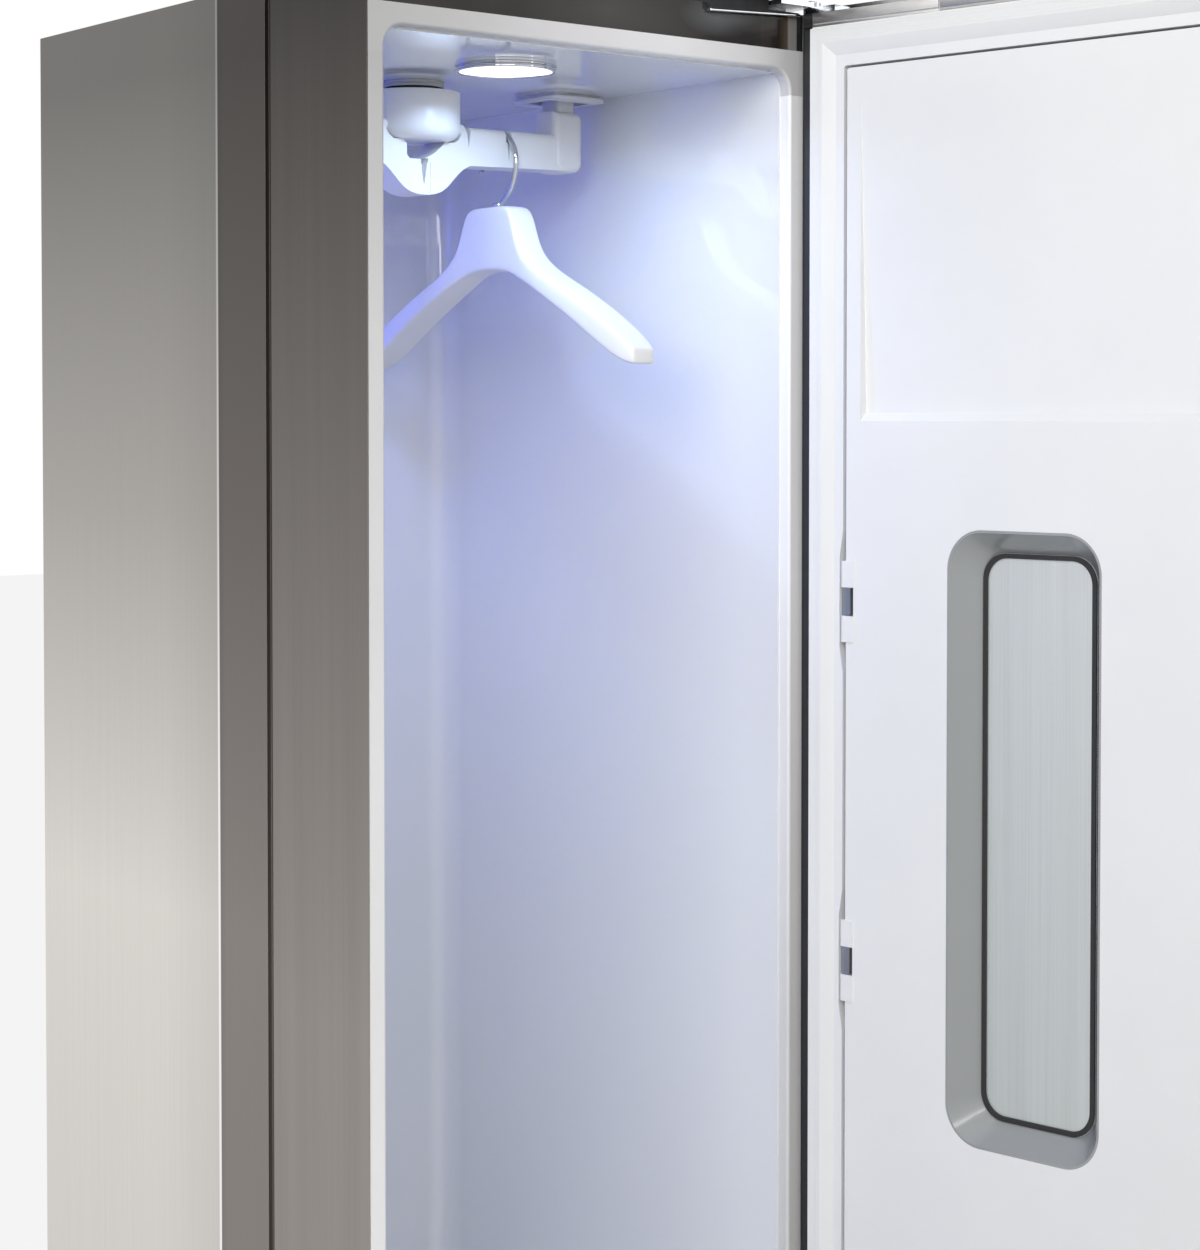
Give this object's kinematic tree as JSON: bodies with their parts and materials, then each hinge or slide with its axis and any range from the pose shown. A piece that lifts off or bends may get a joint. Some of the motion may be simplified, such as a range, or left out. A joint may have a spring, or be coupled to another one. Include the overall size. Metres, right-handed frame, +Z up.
{
  "type": "clothes care steam cabinet",
  "caption": "Tall steel steam cabinet for clothes with a white lit tub, rocking hanger bar, thick hinged door with fold-out press panel, pull-out water tanks and a lint filter.",
  "frame": {"origin": "on the floor under the middle of the cabinet's width and of its depth without the door", "axes": "+Z up, the front faces -Y, the door is hinged on the +X side"},
  "size_m": [0.5486, 0.9843, 1.85],
  "materials": {
    "dark_steel": "satin brown-grey brushed steel",
    "pale_steel": "satin grey steel",
    "trim_steel": "brushed steel trim",
    "galvanised": "zinc-coated sheet",
    "header_gloss": "dark glossy panel",
    "frame_plastic": "satin pale grey plastic",
    "tub_white": "glossy white plastic",
    "white_plastic": "satin white plastic",
    "black_plastic": "matte black plastic",
    "foam": "insulating foam",
    "polished_steel": "polished steel",
    "chrome": "polished chrome",
    "lens": "frosted glowing lens",
    "belt_rubber": "black belt rubber",
    "soft_white": "soft white seal",
    "window_grey": "glossy grey-green surround",
    "brushed_plate": "pale vertical brushed plate",
    "seal_black": "black seal",
    "window_black": "dark glass",
    "tank_smoke": "smoked translucent plastic",
    "filter_grey": "grey plastic with fine mesh",
    "machine_black": "black paint",
    "fin_alu": "plain aluminium",
    "grey_plastic": "grey engineering plastic"
  },
  "bodies": {
    "cabinet": {"base_frame": "galvanised", "levelling_feet": "polished_steel", "left_front_cladding": "dark_steel", "right_front_cladding": "dark_steel", "left_side_panel": "pale_steel", "right_side_panel": "pale_steel", "back_panel": "galvanised", "top_panel": "galvanised", "header_panel": "header_gloss", "front_bezel_top": "frame_plastic", "front_bezel_lower": "frame_plastic", "cavity_liner": "tub_white", "insulation_jacket": "foam", "cabinet_screws": "polished_steel", "top_hinge_bracket": "polished_steel", "bottom_hinge_bracket": "polished_steel", "hinge_cover": "black_plastic", "lamp_ring": "chrome", "lamp_lens": "lens", "ceiling_escutcheons": "white_plastic", "drive_plate": "galvanised", "drive_belt": "belt_rubber", "tank_housing": "white_plastic", "floor_grille": "filter_grey", "machine_shelf": "galvanised", "steam_generator": "grey_plastic", "compressor": "machine_black", "heat_exchanger": "fin_alu", "blower_housing": "grey_plastic", "pumps_and_hoses": "grey_plastic", "control_board": "grey_plastic", "power_inlet": "black_plastic"},
    "hanger_bar": {"hanger_bar": "white_plastic", "drive_cup": "white_plastic", "slide_bushes": "grey_plastic"},
    "crank": {"crank_wheel": "grey_plastic"},
    "motor_pulley": {"motor_pulley": "grey_plastic"},
    "garment_hanger": {"garment_hanger": "white_plastic", "hanger_hook": "chrome"},
    "door": {"door_skin": "dark_steel", "door_core": "foam", "door_liner": "white_plastic", "door_gasket": "soft_white", "door_end_caps": "trim_steel", "door_hinge_leaves": "polished_steel", "door_grip": "black_plastic", "touch_window": "window_black", "press_hinge_clips": "polished_steel"},
    "press_panel": {"press_flap": "white_plastic", "press_pad": "filter_grey", "press_window_tub": "window_grey", "press_window_gasket": "seal_black", "press_plate": "brushed_plate"},
    "press_latch": {"press_latch": "white_plastic"},
    "supply_tank": {"supply_tank": "tank_smoke", "supply_tank_lid": "white_plastic"},
    "drain_tank": {"drain_tank": "tank_smoke", "drain_tank_lid": "white_plastic"},
    "lint_filter": {"lint_filter": "filter_grey"},
    "blower_wheel": {"blower_wheel": "black_plastic"}
  },
  "joints": [
    {"name": "door_hinge", "type": "hinge", "parent": "cabinet", "child": "door", "pos_m": [0.2185, -0.2795, 0.9], "axis": [0, 0, 1], "range_deg": [-98, 22]},
    {"name": "press_panel_hinge", "type": "hinge", "parent": "door", "child": "press_panel", "pos_m": [0.21875, -0.32077, 1.18], "axis": [0, 0, -1], "range_deg": [0, 100]},
    {"name": "press_latch_push", "type": "slide", "parent": "press_panel", "child": "press_latch", "axis": [0.9903, 0.1392, 0], "range_m": [0, 0.003], "stiffness_N_per_m": 300},
    {"name": "bar_rock", "type": "slide", "parent": "cabinet", "child": "hanger_bar", "axis": [1, 0, 0], "range_m": [-0.012, 0.012]},
    {"name": "crank_turn", "type": "hinge", "parent": "cabinet", "child": "crank", "pos_m": [0, -0.005, 1.8], "axis": [0, 0, 1], "range_deg": [-90, 90]},
    {"name": "motor_turn", "type": "hinge", "parent": "cabinet", "child": "motor_pulley", "pos_m": [0.078, -0.005, 1.8], "axis": [0, 0, 1], "range_deg": [-245, 245]},
    {"name": "hanger_swing", "type": "hinge", "parent": "hanger_bar", "child": "garment_hanger", "pos_m": [0.092, -0.005, 1.7147], "axis": [1, 0, 0], "range_deg": [-8, 8]},
    {"name": "supply_tank_slide", "type": "slide", "parent": "cabinet", "child": "supply_tank", "axis": [0, -1, 0], "range_m": [0, 0.2]},
    {"name": "drain_tank_slide", "type": "slide", "parent": "cabinet", "child": "drain_tank", "axis": [0, -1, 0], "range_m": [0, 0.2]},
    {"name": "lint_filter_lift", "type": "slide", "parent": "cabinet", "child": "lint_filter", "axis": [0, 0, 1], "range_m": [0, 0.12]},
    {"name": "blower_spin", "type": "hinge", "parent": "cabinet", "child": "blower_wheel", "pos_m": [0.09, -0.01, 0.38], "axis": [0, 0, 1], "continuous": true}
  ],
  "couplings": [
    {"joint": "crank_turn", "follows": "bar_rock", "rad_per_m": 130.9},
    {"joint": "motor_turn", "follows": "bar_rock", "rad_per_m": 355.3}
  ]
}
